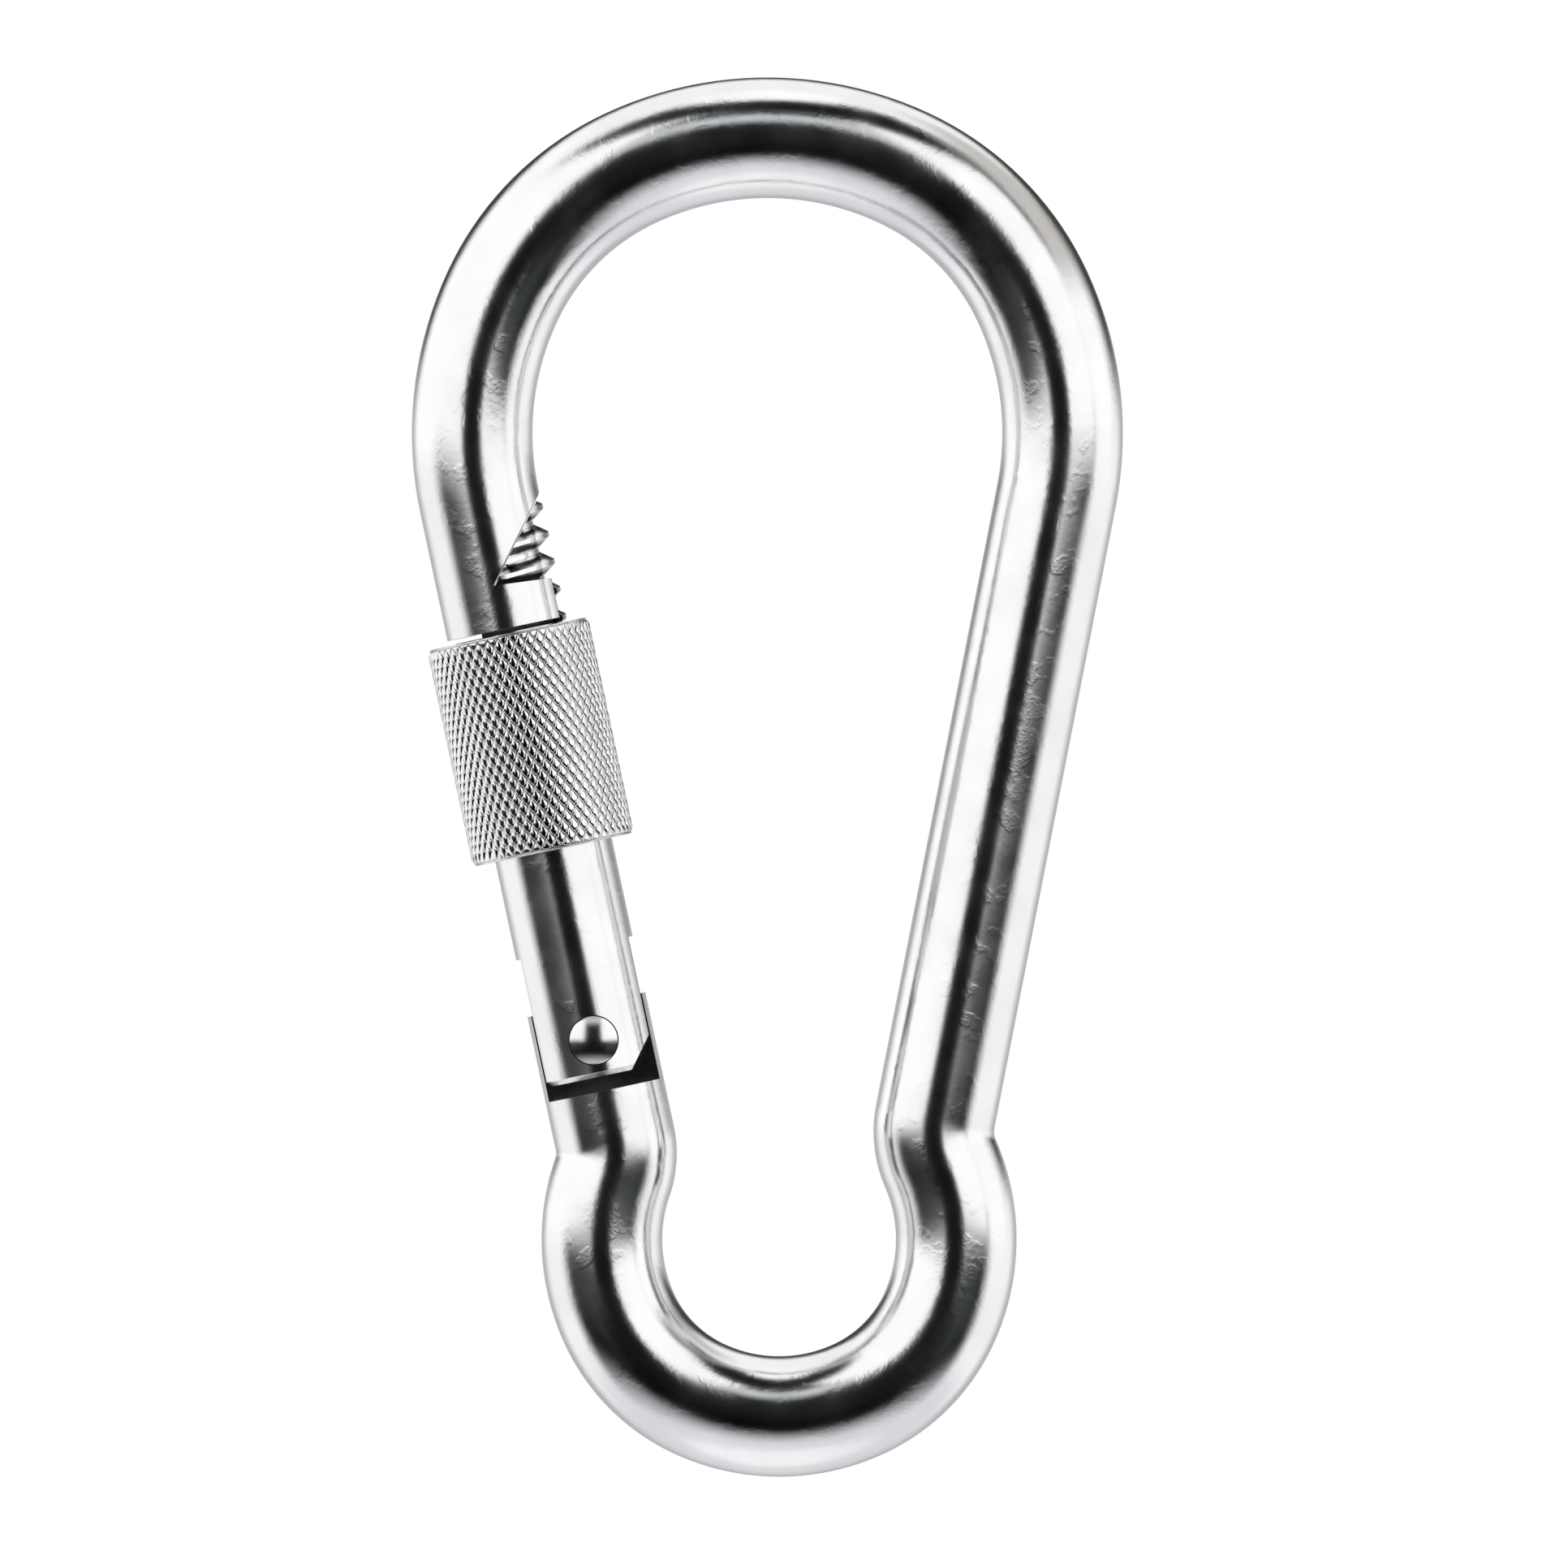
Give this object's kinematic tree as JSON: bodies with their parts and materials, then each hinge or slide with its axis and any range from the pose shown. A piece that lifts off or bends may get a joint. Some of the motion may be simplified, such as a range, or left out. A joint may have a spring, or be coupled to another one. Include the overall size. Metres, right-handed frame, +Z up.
{
  "type": "screw-lock carabiner",
  "caption": "Pear-shaped screw-lock snap hook for keys: a bent chrome bar with a sprung hinged gate and a knurled threaded sleeve that screws up over the latch.",
  "frame": {"origin": "inner top of the bow, where the hook hangs, in the middle of the bar's thickness", "axes": "+Z up along the hook's length, +X across it, away from the gate, +Y through it, away from the picture's camera"},
  "size_m": [0.0406, 0.0094, 0.08],
  "materials": {
    "hook_body": "polished, with faint ripples from forming",
    "gate": "polished, thread left bright",
    "hinge_rivet": "polished domed heads",
    "locking_sleeve": "diamond knurl, plated",
    "friction_ring": "matt black",
    "spring_plunger": "turned",
    "gate_spring": "drawn wire"
  },
  "bodies": {
    "hook": {"hook_body": "hook_body"},
    "gate": {"gate": "gate", "hinge_rivet": "hinge_rivet", "gate_spring": "gate_spring"},
    "sleeve_carrier": {"friction_ring": "friction_ring"},
    "sleeve": {"locking_sleeve": "locking_sleeve"},
    "plunger": {"spring_plunger": "spring_plunger"}
  },
  "joints": [
    {"name": "gate_hinge", "type": "hinge", "parent": "hook", "child": "gate", "pos_m": [-0.00992, 0, -0.04812], "axis": [0, 1, 0], "range_deg": [0, 40], "stiffness_Nm_per_rad": 0.06, "springref_deg": -34.38},
    {"name": "sleeve_slide", "type": "slide", "parent": "gate", "child": "sleeve_carrier", "axis": [-0.2079, 0, 0.9781], "range_m": [0, 0.0056]},
    {"name": "sleeve_spin", "type": "hinge", "parent": "sleeve_carrier", "child": "sleeve", "pos_m": [-0.00992, 0, -0.04812], "axis": [-0.2079, 0, 0.9781], "range_deg": [0, 1265]},
    {"name": "plunger_slide", "type": "slide", "parent": "gate", "child": "plunger", "axis": [-0.2079, 0, 0.9781], "range_m": [0, 0.0017], "deforming": ["gate_spring"]}
  ],
  "couplings": [
    {"joint": "sleeve_spin", "follows": "sleeve_slide", "rad_per_m": 3927},
    {"joint": "plunger_slide", "follows": "gate_hinge", "m_per_rad": 0.00232}
  ]
}
